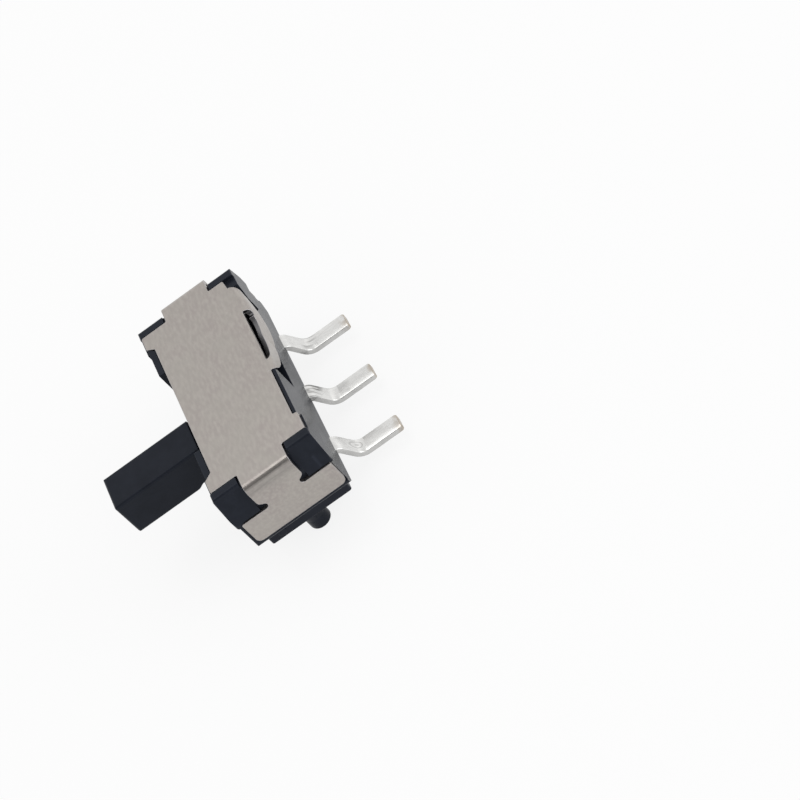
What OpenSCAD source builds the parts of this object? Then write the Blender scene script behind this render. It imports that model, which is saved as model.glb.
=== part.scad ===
// Miniature surface-mount slide switch with a side lever and three gull-wing leads.
//
// X runs along the body, +X towards the end where the lever rests.
// Y runs across the body, +Y towards the leads. Z is up from the board.
// The origin is on the board's top face, midway between the two locating pegs.

/* [Housing] */
// Length of the housing over its end walls
body_l = 8.76; // [8.6:0.02:9.2]
// Width of the housing over its side walls
body_w = 3.45; // [3.4:0.05:3.9]
// Height of the cover's top face above the board
body_h = 3.54; // [3.4:0.02:4]
// Thickness of the side walls
side_wall = 0.43; // [0.35:0.01:0.5]
// Length of the base slab under the walls
base_l = 7.84; // [7.6:0.02:8.1]
// Width of the base slab
base_w = 3; // [2.8:0.05:3.2]
// Thickness of the base slab
base_t = 0.5; // [0.4:0.02:0.6]
// How far the end walls lean in from their shoulder to the top
end_lean = 0.36; // [0.2:0.02:0.4]
// Height of the end walls' shoulder above the slab
shoulder_h = 1.53; // [1.4:0.01:1.7]
// How far the corner posts stand out from the side walls
post_bulge = 0.09; // [0.04:0.01:0.14]
// Length of the post beyond the detent spring
far_post_l = 0.7; // [0.5:0.01:0.7]
// Depth of the lead notches in the slab's long edges
lead_notch = 0.14; // [0.05:0.01:0.2]
// Height of the wall that is left under the detent spring, above the slab
spring_sill = 1.43; // [1.2:0.01:1.44]

/* [Underside] */
// Distance between the two locating pegs
peg_pitch = 6.8; // [6.6:0.05:7]
// Diameter of a locating peg
peg_d = 0.75; // [0.6:0.01:0.8]
// Diameter of a peg's tapered root, where it meets the slab
peg_root_d = 0.84; // [0.8:0.01:0.9]
// Length of a peg below the board's top face
peg_l = 0.45; // [0.3:0.01:0.8]
// Height of the four seating bosses
boss_h = 0.37; // [0.25:0.01:0.45]
// Length of a seating boss
boss_l = 0.56; // [0.4:0.01:0.6]
// Width of a seating boss
boss_w = 0.54; // [0.4:0.01:0.6]
// Distance between the bosses along the body
boss_pitch_x = 6.5; // [6.3:0.05:6.8]
// Distance between the bosses across the body
boss_pitch_y = 1.76; // [1.7:0.02:2]
// Side of a square core hole
core_hole = 0.48; // [0.3:0.01:0.5]
// Distance between the two core holes of one contact pad, along the body
core_pitch_x = 0.95; // [0.8:0.01:1]
// Distance between the core holes across the body
core_pitch_y = 0.88; // [0.7:0.01:1]

/* [Leads] */
// Distance from one lead to the next
pitch = 2.5; // [2.45:0.01:2.54]
// Width of a lead
lead_w = 0.6; // [0.4:0.01:0.7]
// Thickness of the lead metal
lead_t = 0.2; // [0.15:0.01:0.25]
// Distance from the body's centre line to the lead tips
lead_reach = 3.75; // [3.4:0.01:4.2]
// Angle of a lead's sloping part below the horizontal
lead_angle = 62; // [50:1:75]
// Radius of a lead's bend at the wall, on its middle line
lead_bend_r = 0.3; // [0.2:0.01:0.35]
// Radius of a lead's bend above the foot, on its middle line
foot_bend_r = 0.45; // [0.2:0.01:0.5]
// Distance from the centre to the middle of an outer contact pad
pad_x = 1.96; // [1.94:0.01:2.05]
// Length of a contact pad along the body
pad_l = 1.6; // [1.5:0.01:1.64]
// Width of a contact pad
pad_w = 1.4; // [1.3:0.01:1.6]
// Gap between neighbouring contact pads
pad_gap = 0.3; // [0.2:0.01:0.4]

/* [Cover] */
// Thickness of the cover sheet
sheet_t = 0.15; // [0.1:0.01:0.2]
// Outer radius of the cover's folds
fold_r = 0.27; // [0.25:0.01:0.35]
// Width of the neck that joins an end flap to the cover
neck_w = 1.66; // [1.4:0.02:1.8]
// Width of an end flap's tee
tee_w = 3.32; // [2.9:0.01:3.34]
// How far the end flaps lie off centre, towards the leads
flap_y = 0.05; // [0:0.01:0.06]
// Height of an end flap's tee
tee_h = 1.04; // [0.8:0.01:1.1]
// Height of the relief cuts beside the neck
relief_h = 0.26; // [0.12:0.01:0.3]
// Depth of the relief cuts into the neck
relief_d = 0.22; // [0.14:0.01:0.26]
// Distance from the centre to the corner notches of the cover
notch_x = 3.69; // [3.6:0.01:3.72]
// Length of the cover's corner tabs
tab_l = 0.73; // [0.6:0.01:0.8]
// How far the edge stands back from the tabs on the lever side
lever_edge_step = 0.27; // [0.15:0.01:0.28]
// How far the edge stands back from the tab on the lead side
lead_edge_step = 0.16; // [0.08:0.01:0.2]

/* [Detent spring] */
// Centre of the spring leaf along the body
leaf_x = -1.22; // [-1.3:0.01:-1.1]
// Height of the leaf, from the cover's top down to its lowest edge
leaf_drop = 1.22; // [1:0.01:1.23]
// Radius of the leaf's lower edge
leaf_r = 2.35; // [2.25:0.01:2.4]
// How far the leaf's far part bows outwards
leaf_bow = 0.1; // [0.05:0.01:0.12]
// Length of the bowed part
bow_l = 2.2; // [1.8:0.05:2.4]
// Centre of the slot along the body
slot_x = -0.82; // [-0.95:0.01:-0.7]
// Length of the slot at the fold
slot_l = 2.4; // [2:0.02:2.6]
// Depth of the slot down the leaf
slot_drop = 0.42; // [0.3:0.01:0.55]

/* [Slider] */
// Travel of the slider between its two positions
travel = 2.1; // [1.8:0.05:2.2]
// Width of the lever along the body
lever_w = 1.4; // [1.2:0.05:1.6]
// Height of the lever
lever_h = 1.48; // [1.3:0.01:1.6]
// Height of the lever's top below the cover's top
lever_drop = 0.11; // [0.05:0.01:0.2]
// Distance from the body's centre line to the lever's tip
lever_reach = 4.78; // [3.8:0.02:5.6]
// Rounding of the lever's edges
lever_round = 0.1; // [0.04:0.01:0.15]
// Width of the gap under the arm, between the lever and the housing
lever_gap = 0.42; // [0.3:0.01:0.6]
// Height of the arm that joins the lever to the slider
arm_h = 1.18; // [0.9:0.01:1.25]
// Length of the slider inside the housing
slider_l = 4.2; // [3.9:0.05:4.3]
// Height of the moving contact's bridge above its points
clip_rise = 0.4; // [0.3:0.01:0.5]
// Length of the moving contact's sloping arms and turned-up ends
clip_arm = 0.4; // [0.36:0.01:0.45]
// Thickness of the moving contact
clip_t = 0.12; // [0.08:0.01:0.15]
// Width of the moving contact
clip_w = 0.7; // [0.4:0.02:1]
// Distance between the two contact points
clip_pitch = 1.6; // [1.55:0.01:1.7]

/* [Fits] */
// Clearance around the slider
slide_gap = 0.08; // [0.05:0.01:0.1]
// Spare travel at each end before the slider would touch the housing
stop_gap = 0.1; // [0.05:0.01:0.12]
// Gap between the cover's edges and the plastic beside them
seat_gap = 0.03; // [0.01:0.01:0.05]
// Gap between the detent spring's far edge and the wall
leaf_gap = 0.14; // [0.1:0.01:0.2]
// Gap between the moving contact and the pads
contact_gap = 0.02; // [0.01:0.005:0.04]
// Gap between the slider's nose and the detent spring
nose_gap = 0.12; // [0.08:0.01:0.15]
// How far the end flaps stand out from the end walls
flap_proud = 0.05; // [0.02:0.01:0.08]
// How far the tabs and the spring leaf stand out from the side walls
tab_proud = 0.03; // [0.01:0.01:0.05]

/* [Hidden] */
$fn = 48;

plastic = "#26272b";
metal = "#aca59e";
silver = "#d6d5d1";

// Anything that only has to reach past what it cuts.
over = 1;

// Heights above the board.
slab_z = boss_h;
lead_z = slab_z + base_t;
floor_z = lead_z + lead_t;
sheet_z = body_h - sheet_t;
shoulder_z = lead_z + shoulder_h;
sill_z = lead_z + spring_sill;
post_step_z = sill_z - 0.05;

// Lengths along the body.
end_x = body_l / 2;
flap_x = end_x + flap_proud;
flap_in_x = flap_x - sheet_t;
fold_x = flap_x - fold_r;
tab_x = notch_x - tab_l;
tab_slant = 0.7 * lever_edge_step;
post_x = tab_x + 0.05;
cavity_l = slider_l + travel + 2 * stop_gap;
window_l = lever_w + travel + 2 * stop_gap;
rest_x = travel / 2;

// Widths across the body.
wall_y = body_w / 2;
cavity_w = body_w - 2 * side_wall;
post_gap = 0.08;
post_in = neck_w / 2 + post_gap;
neck_lead_y = flap_y + neck_w / 2;
neck_lever_y = flap_y - neck_w / 2;
post_y = wall_y + post_bulge;
tab_y = wall_y + tab_proud;
lever_edge_y = tab_y - lever_edge_step;
lead_edge_y = tab_y - lead_edge_step;

// The tee of an end flap.
tee_top_z = shoulder_z - seat_gap;
tee_low_z = tee_top_z - tee_h;
tee_corner = 0.2;

// The spring leaf is the part of a bowed fold that lies inside one arc and below another.
leaf_y = tab_y;
leaf_fold_y = leaf_y - fold_r;
leaf_z = body_h - leaf_drop + leaf_r;
slot_r = (pow(slot_l / 2, 2) + pow(slot_drop, 2)) / (2 * slot_drop);
slot_z = body_h - slot_drop + slot_r;
leaf_half = chord(leaf_r, leaf_z - body_h);
leaf_far_x = leaf_x - leaf_half;
leaf_near_x = leaf_x + leaf_half;
gap_far_x = far_post_l + end_lean - end_x;
gap_near_x = leaf_x + chord(leaf_r, leaf_z - sheet_z) + seat_gap;

// Levels of the slider and its lever.
slider_low_z = floor_z + slide_gap;
slider_top_z = sheet_z - slide_gap;
lever_top_z = body_h - lever_drop;
lever_low_z = lever_top_z - lever_h;
arm_low_z = slider_top_z - arm_h;
lever_root = post_y + lever_gap;
lever_step = lever_edge_y + slide_gap;
lever_draft = 0.04;
nose_x = -0.8;
nose_r = 0.3;
nose_y = leaf_y - sheet_t - nose_gap;

// Levels of the moving contact's middle line.
point_z = floor_z + contact_gap + clip_t / 2;
bridge_z = point_z + clip_rise;

// Half the chord of a circle of radius r, at distance d from its centre.
function chord(r, d) = sqrt(r * r - d * d);

// A vector of length one.
function unit(v) = v / norm(v);

// Points of the arc of radius r that rounds the corner b between a and c.
function corner(a, b, c, r, steps = 8) =
    r < 0.001 ? [b] :
    let (
        u = unit(a - b),
        v = unit(c - b),
        half = acos(u * v) / 2,
        centre = b + unit(u + v) * r / sin(half),
        from = b + u * r / tan(half) - centre,
        to = b + v * r / tan(half) - centre,
        start = atan2(from.y, from.x),
        turn = 360,
        sweep = (atan2(to.y, to.x) - start + 1.5 * turn) % turn - turn / 2
    )
    [for (i = [0:steps]) let (angle = start + sweep * i / steps) centre + r * [cos(angle), sin(angle)]];

// Closed outline through [x, y, corner radius] points.
function rounded(path) =
    let (n = len(path), at = [for (p = path) [p[0], p[1]]])
    [for (i = [0:n - 1]) each corner(at[(i + n - 1) % n], at[i], at[(i + 1) % n], path[i][2])];

// Direction from one point of a path to the next.
function heading(path, i) = unit([path[i + 1][0] - path[i][0], path[i + 1][1] - path[i][1]]);

// One side of a bent sheet whose middle line is path, d away from that line.
function side(path, d) =
    let (last = len(path) - 1)
    [for (i = [0:last])
        let (
            u = heading(path, max(i, 1) - 1),
            v = heading(path, min(i, last - 1)),
            nu = [-u.y, u.x],
            across = unit(nu + [-v.y, v.x]),
            at = [path[i][0], path[i][1]] + across * d / (across * nu),
            bend = i == 0 || i == last ? 0 : path[i][2] - sign(u.x * v.y - u.y * v.x) * d
        )
        [at.x, at.y, bend]];

// Outline of a sheet of thickness t whose middle line is path, bent at each point's radius.
function sheet(path, t) =
    let (left = side(path, t / 2), right = side(path, -t / 2), last = len(path) - 1)
    rounded(concat(left, [for (i = [0:last]) right[last - i]]));

// Rectangle outline with all four corners rounded.
function rectangle(x0, x1, y0, y1, r) = rounded([[x0, y0, r], [x1, y0, r], [x1, y1, r], [x0, y1, r]]);

// A flat outline in X and Z, extruded along Y from y0 to y1.
module along_y(y0, y1) {
    translate([0, y1, 0]) rotate([90, 0, 0]) linear_extrude(y1 - y0) children();
}

// A flat outline in Y and Z, extruded along X from x0 to x1.
module along_x(x0, x1) {
    translate([x0, 0, 0]) rotate([90, 0, 90]) linear_extrude(x1 - x0) children();
}

// A flat outline in X and Y, extruded upwards from z0 to z1.
module along_z(z0, z1) {
    translate([0, 0, z0]) linear_extrude(z1 - z0) children();
}

// A box between two corners.
module block(low, high) {
    translate(low) cube(high - low);
}

// Children at both ends of the body.
module both_ends() {
    children();
    mirror([1, 0, 0]) children();
}

// Children on both sides of the body.
module both_sides() {
    children();
    mirror([0, 1, 0]) children();
}

// ---- Housing: walls, base slab, bosses and pegs, moulded in one piece ----

// Side view of the walls: chamfered foot, upright shoulder, leaning top.
module wall_profile() {
    foot = 0.3;
    soft = 0.12;
    polygon(rounded([
        [-end_x + foot, lead_z, 0.03], [end_x - foot, lead_z, 0.03],
        [end_x, lead_z + foot, soft], [end_x, shoulder_z, soft],
        [end_x - end_lean, body_h, soft], [-end_x + end_lean, body_h, soft],
        [-end_x, shoulder_z, soft], [-end_x, lead_z + foot, soft]
    ]));
}

// Outer form of the walls, with the corner posts standing out near the top.
module wall_form() {
    intersection() {
        along_y(-post_y, post_y) wall_profile();
        along_z(lead_z, body_h) polygon(rectangle(-end_x, end_x, -post_y, post_y, 0.1));
        union() {
            along_x(-end_x, end_x) polygon(rectangle(-wall_y, wall_y, lead_z, body_h, 0.04));
            both_ends() along_x(post_x, end_x)
                polygon(rectangle(-post_y, post_y, post_step_z, body_h, 0.08));
        }
    }
}

// Everything above the cover's underside that the cover leaves room for.
module raised_tops() {
    ledge_z = body_h - seat_gap;
    both_ends() {
        block([notch_x + seat_gap, flap_y + post_in, 0], [end_x, post_y, body_h]);
        block([notch_x + seat_gap, -post_y, 0], [end_x, flap_y - post_in, body_h]);
    }
    along_z(0, ledge_z) polygon([
        [-tab_x - tab_slant + seat_gap, -wall_y], [tab_x + tab_slant - seat_gap, -wall_y],
        [tab_x - seat_gap, -lever_edge_y - seat_gap], [-tab_x + seat_gap, -lever_edge_y - seat_gap]
    ]);
    block([leaf_near_x + seat_gap, lead_edge_y + seat_gap, 0], [tab_x - seat_gap, wall_y, ledge_z]);
}

// Room for an end flap in the end wall: a tee with the neck's slot above it. The tee reaches the
// lead-side wall, so its room is open on that side.
module flap_recess() {
    block([flap_in_x, -post_in, shoulder_z - tee_corner], [end_x + over, post_in, body_h + over]);
    along_x(flap_in_x, end_x + over)
        polygon(rectangle(
            -tee_w / 2 - seat_gap, body_w, tee_low_z - seat_gap, shoulder_z, tee_corner
        ));
    // The bevel clears the inside of the fold.
    translate([flap_in_x, 0, sheet_z]) rotate([0, 45, 0])
        cube([fold_r, 2 * post_in, fold_r], center = true);
}

// Gap in the lead-side wall for the detent spring: it follows the leaf at its far end, under
// the far post's round tip, and is square at its near end.
module spring_gap() {
    tip_r = 0.3;
    top_z = body_h + over;
    along_y(cavity_w / 2 - slide_gap, post_y + over) intersection() {
        polygon(concat(
            [[gap_far_x, sill_z], [gap_near_x, sill_z], [gap_near_x, top_z], [gap_far_x - tip_r, top_z]],
            corner([-end_x, body_h], [gap_far_x, body_h], [gap_far_x, sill_z], tip_r)
        ));
        union() {
            translate([leaf_x, leaf_z]) circle(leaf_r + leaf_gap, $fn = 96);
            translate([leaf_x, 0]) square([body_l, 2 * body_h]);
        }
    }
}

// Square core holes through the slab, four under each outer contact pad.
module core_holes() {
    for (end = [-1, 1], sx = [-1, 1], sy = [-1, 1])
        translate([end * pad_x + sx * core_pitch_x / 2, sy * core_pitch_y / 2, 0])
            along_z(0, lead_z) square(core_hole, center = true);
}

// A locating peg: a broken edge at its tip, and a tapered root above the board.
module peg() {
    tip = 0.03;
    rotate_extrude() polygon(rounded([
        [0, -peg_l, 0], [peg_d / 2, -peg_l, tip], [peg_d / 2, 0, 0],
        [peg_root_d / 2, slab_z, 0], [peg_root_d / 2, lead_z, 0], [0, lead_z, 0]
    ]));
}

// The moulding gate's vestige on the slab's +X end.
module gate() {
    gate_r = 0.14;
    gate_l = 0.04;
    gate_y = -1;
    along_x(base_l / 2 - gate_l, base_l / 2 + gate_l)
        translate([gate_y, slab_z + base_t / 2]) circle(gate_r);
}

module housing() {
    color(plastic) difference() {
        union() {
            intersection() {
                wall_form();
                union() {
                    along_z(0, sheet_z) square([2 * body_l, 2 * body_w], center = true);
                    raised_tops();
                }
            }
            along_z(slab_z, floor_z - lead_t / 2)
                polygon(rectangle(-base_l / 2, base_l / 2, -base_w / 2, base_w / 2, 0.08));
            both_ends() both_sides() along_z(0, lead_z)
                translate([boss_pitch_x / 2, boss_pitch_y / 2]) square([boss_l, boss_w], center = true);
            both_ends() translate([peg_pitch / 2, 0, 0]) peg();
            gate();
        }
        // Room for the slider.
        block([-cavity_l / 2, -cavity_w / 2, floor_z], [cavity_l / 2, cavity_w / 2, body_h]);
        // Window for the lever.
        block([-window_l / 2, -post_y - over, arm_low_z - slide_gap], [window_l / 2, 0, body_h + over]);
        spring_gap();
        both_ends() translate([0, flap_y, 0]) flap_recess();
        core_holes();
        for (i = [-1:1])
            both_sides() translate([i * pitch, base_w / 2, 0])
                block([-lead_w / 2, -lead_notch, 0], [lead_w / 2, over, lead_z]);
        terminal_blanks();
    }
}

// ---- Terminals: stamped strips moulded into the base ----

// A lead strip across the housing, bent down to the board at its end.
module lead(x) {
    middle = lead_z + lead_t / 2;
    bend_y = wall_y + 0.04;
    foot_y = bend_y + lead_z / tan(lead_angle);
    tip_round = 0.1;
    intersection() {
        along_x(x - lead_w / 2, x + lead_w / 2) polygon(sheet(
            [[-wall_y, middle, 0], [bend_y, middle, lead_bend_r],
             [foot_y, lead_t / 2, foot_bend_r], [lead_reach, lead_t / 2, 0]],
            lead_t
        ));
        along_z(0, body_h) polygon(rounded([
            [x - lead_w / 2, -wall_y, 0], [x + lead_w / 2, -wall_y, 0],
            [x + lead_w / 2, lead_reach, tip_round], [x - lead_w / 2, lead_reach, tip_round]
        ]));
    }
}

// A contact pad between two places along the body, level with the housing's floor.
module pad(x0, x1) {
    block([x0, -pad_w / 2, lead_z], [x1, pad_w / 2, floor_z]);
}

module terminal_common() {
    color(silver) {
        lead(0);
        pad(pad_gap + pad_l / 2 - pad_x, pad_x - pad_l / 2 - pad_gap);
    }
}

module terminal_near() {
    color(silver) {
        lead(pitch);
        pad(pad_x - pad_l / 2, pad_x + pad_l / 2);
    }
}

module terminal_far() {
    mirror([1, 0, 0]) terminal_near();
}

module terminal_blanks() {
    terminal_far();
    terminal_common();
    terminal_near();
}

// ---- Cover: one folded sheet with two end flaps and the detent spring ----

// Plan of the flat top, without the folds.
module plate_plan() {
    soft = 0.06;
    far_slant = 0.05;
    polygon(rounded([
        [fold_x, neck_lever_y, 0], [fold_x, neck_lead_y, 0],
        [notch_x, neck_lead_y, soft], [notch_x, tab_y, soft],
        [tab_x, tab_y, soft], [tab_x, lead_edge_y, soft],
        [leaf_near_x, lead_edge_y, 0], [leaf_near_x, leaf_fold_y, 0], [leaf_far_x, leaf_fold_y, 0],
        [-notch_x, leaf_fold_y - far_slant, soft], [-notch_x, neck_lead_y, soft],
        [-fold_x, neck_lead_y, 0], [-fold_x, neck_lever_y, 0],
        [-notch_x, neck_lever_y, soft], [-notch_x, -tab_y, soft],
        [-tab_x - tab_slant, -tab_y, soft], [-tab_x, -lever_edge_y, soft],
        [tab_x, -lever_edge_y, soft], [tab_x + tab_slant, -tab_y, soft],
        [notch_x, -tab_y, soft], [notch_x, neck_lever_y, soft]
    ]));
}

// Face of an end flap: neck, relief cuts and tee.
module flap_face() {
    soft = 0.06;
    shoulder_r = 0.18;
    relief_r = 0.48 * relief_h;
    relief_y = neck_w / 2 - relief_d;
    relief_z = tee_top_z + relief_h;
    half = [
        [tee_w / 2, tee_low_z, tee_corner], [tee_w / 2, tee_top_z, soft],
        [relief_y, tee_top_z, relief_r], [relief_y, relief_z, relief_r],
        [neck_w / 2, relief_z, shoulder_r], [neck_w / 2, body_h, 0]
    ];
    last = len(half) - 1;
    other_half = [for (i = [0:last]) [-half[last - i].x, half[last - i].y, half[last - i].z]];
    polygon(rounded(concat(half, other_half)));
}

// The fold and flap at the +X end.
module end_flap() {
    middle = sheet_t / 2;
    intersection() {
        along_y(-tee_w / 2, tee_w / 2) polygon(sheet(
            [[fold_x, body_h - middle, 0], [flap_x - middle, body_h - middle, fold_r - middle],
             [flap_x - middle, tee_low_z, 0]],
            sheet_t
        ));
        along_x(0, flap_x) flap_face();
    }
}

// Section of the fold and the leaf below it, with its outer face at zero.
module leaf_section() {
    middle = sheet_t / 2;
    polygon(sheet(
        [[-fold_r - 2 * leaf_bow, body_h - middle, 0], [-middle, body_h - middle, fold_r - middle],
         [-middle, body_h - leaf_drop, 0]],
        sheet_t
    ));
}

// The folded strip that the leaf is cut from: its far part bows outwards in an arc.
module leaf_strip() {
    lap = 0.1;
    bow_r = (pow(bow_l / 2, 2) + pow(leaf_bow, 2)) / (2 * leaf_bow);
    bow_x = leaf_far_x + bow_l / 2;
    half_turn = asin(bow_l / 2 / bow_r);
    along_x(leaf_far_x + bow_l - lap, leaf_near_x) translate([leaf_y, 0]) leaf_section();
    translate([bow_x, leaf_y + leaf_bow - bow_r, 0]) rotate([0, 0, 90 - half_turn])
        rotate_extrude(angle = 2 * half_turn + asin(lap / bow_r), $fn = 360)
            translate([bow_r, 0]) leaf_section();
}

// Outline of the slot: one long arc, blunt at the far end.
module slot_outline() {
    end_r = 0.15;
    translate([slot_x, slot_z]) circle(slot_r, $fn = 96);
    translate([slot_x - slot_l / 2 + end_r, body_h - end_r / 2]) circle(end_r);
}

// The leaf along the lead side that the slider's nose snaps past.
module detent_leaf() {
    past_y = leaf_y + over;
    difference() {
        intersection() {
            leaf_strip();
            along_y(0, past_y) translate([leaf_x, leaf_z]) circle(leaf_r, $fn = 96);
        }
        intersection() {
            along_y(0, past_y) slot_outline();
            union() {
                block([leaf_far_x, lead_edge_y, 0], [leaf_near_x, past_y, body_h + over]);
                block([leaf_far_x, 0, 0], [leaf_near_x, past_y, sheet_z]);
            }
        }
    }
}

module cover() {
    dimple_r = 0.8;
    dimple_depth = 0.012;
    dimple_x = -2.29;
    dimple_y = 1.17;
    color(metal) difference() {
        union() {
            along_z(sheet_z, body_h) plate_plan();
            both_ends() translate([0, flap_y, 0]) end_flap();
            detent_leaf();
        }
        translate([dimple_x, dimple_y, body_h + dimple_r - dimple_depth]) sphere(dimple_r);
    }
}

// ---- Slider: inner block, nose and outside lever, moulded in one piece ----

// Side view of the lever and the arm that carries it.
module lever_profile() {
    root_l = 0.3;
    root_r = 0.15;
    polygon(rounded([
        [-lever_reach, lever_low_z + lever_draft, lever_round],
        [-lever_root - root_l, lever_low_z, root_r], [-lever_root, arm_low_z, root_r],
        [0, arm_low_z, 0], [0, slider_top_z, 0],
        [-lever_step, slider_top_z, 0], [-lever_step, lever_top_z, 0],
        [-lever_reach, lever_top_z, lever_round]
    ]));
}

// The lever, centred on the slider's own middle.
module lever() {
    intersection() {
        along_x(-lever_w / 2, lever_w / 2) lever_profile();
        along_z(lever_low_z, lever_top_z)
            polygon(rectangle(-lever_w / 2, lever_w / 2, -lever_reach, lever_reach, lever_round));
        along_y(-lever_reach, 0)
            polygon(rectangle(-lever_w / 2, lever_w / 2, lever_low_z, lever_top_z, lever_round));
    }
}

// Shallow round mark that an ejector pin leaves on the lever's underside.
module ejector_mark() {
    mark_r = 0.38;
    mark_depth = 0.03;
    mark_x = -0.11;
    mark_y = -3.11;
    translate([mark_x, mark_y, 0]) cylinder(r = mark_r, h = lever_low_z + mark_depth);
}

module slider() {
    half_w = cavity_w / 2 - slide_gap;
    clip_room = clip_pitch / 2 + clip_arm + slide_gap;
    color(plastic) translate([rest_x, 0, 0]) difference() {
        union() {
            block([-slider_l / 2, -half_w, slider_low_z], [slider_l / 2, half_w, slider_top_z]);
            translate([nose_x, nose_y - nose_r, sill_z + slide_gap])
                cylinder(r = nose_r, h = slider_top_z - sill_z - 2 * slide_gap);
            lever();
        }
        // Pocket for the moving contact.
        block(
            [-clip_room, -clip_w / 2 - slide_gap, 0],
            [clip_room, clip_w / 2 + slide_gap, bridge_z + clip_t / 2]
        );
        ejector_mark();
    }
}

// ---- Moving contact: a bent strip that bridges the common pad and one outer pad ----

module moving_contact() {
    point_x = clip_pitch / 2;
    half = [
        [point_x + 0.75 * clip_arm, point_z + 0.75 * clip_rise, 0], [point_x, point_z, clip_t],
        [point_x - clip_arm, bridge_z, clip_t]
    ];
    color(silver) translate([rest_x, 0, 0]) along_y(-clip_w / 2, clip_w / 2)
        polygon(sheet(concat([for (p = half) [-p.x, p.y, p.z]], [half[2], half[1], half[0]]), clip_t));
}

housing();
cover();
terminal_far();
terminal_common();
terminal_near();
slider();
moving_contact();
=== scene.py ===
"""Dresses the miniature slide switch: finishes, leads, lamps, floor and camera.

Everything is in metres, in the part's own frame: X along the body, Y towards the
leads, Z up from the board, the origin on the board between the two pegs.
"""

import logging
import math
from dataclasses import dataclass
from enum import Enum
from typing import Any

import bmesh
import bpy
from mathutils import Matrix, Vector


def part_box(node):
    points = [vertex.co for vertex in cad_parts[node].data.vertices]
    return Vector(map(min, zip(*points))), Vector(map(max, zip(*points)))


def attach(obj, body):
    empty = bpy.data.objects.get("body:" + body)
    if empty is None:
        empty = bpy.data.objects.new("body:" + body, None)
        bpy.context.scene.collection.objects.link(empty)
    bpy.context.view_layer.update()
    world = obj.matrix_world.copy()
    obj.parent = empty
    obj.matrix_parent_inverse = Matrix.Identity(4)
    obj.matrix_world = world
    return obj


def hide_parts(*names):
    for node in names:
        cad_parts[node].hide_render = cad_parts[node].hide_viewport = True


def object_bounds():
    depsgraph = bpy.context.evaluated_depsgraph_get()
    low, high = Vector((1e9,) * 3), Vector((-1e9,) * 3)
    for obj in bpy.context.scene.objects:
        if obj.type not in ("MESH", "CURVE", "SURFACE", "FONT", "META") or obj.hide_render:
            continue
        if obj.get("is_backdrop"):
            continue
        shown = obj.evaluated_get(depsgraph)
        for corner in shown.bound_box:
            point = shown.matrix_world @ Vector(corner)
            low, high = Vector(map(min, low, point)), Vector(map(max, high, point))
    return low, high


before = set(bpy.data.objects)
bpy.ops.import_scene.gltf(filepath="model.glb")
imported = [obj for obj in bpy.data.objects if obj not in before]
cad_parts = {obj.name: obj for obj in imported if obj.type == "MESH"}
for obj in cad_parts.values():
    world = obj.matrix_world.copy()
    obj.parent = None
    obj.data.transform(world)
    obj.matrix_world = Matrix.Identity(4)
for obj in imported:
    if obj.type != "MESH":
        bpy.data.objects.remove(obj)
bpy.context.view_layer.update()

log = logging.getLogger("switch")

MM = 0.001
PER_MM = 1.0 / MM
BEVEL_SAMPLES = 8
BEND_STEPS = 14
EDGE_STEPS = 3
TIP_STEPS = 6
SMOOTH_DEGREES = 30.0

Colour = tuple[float, float, float, float]
Point = tuple[float, float, float]


class Body(Enum):
    """The body that the built pieces ride on."""

    BASE = "base"


class Slot(Enum):
    """A material slot name, which nothing here gives to a piece."""

    TERMINAL = "terminal_metal"


def grey(level: float, tint: Point = (1.0, 1.0, 1.0)) -> Colour:
    """Returns a tinted grey as a linear colour, where level is its brightness."""
    return (level * tint[0], level * tint[1], level * tint[2], 1.0)


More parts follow.
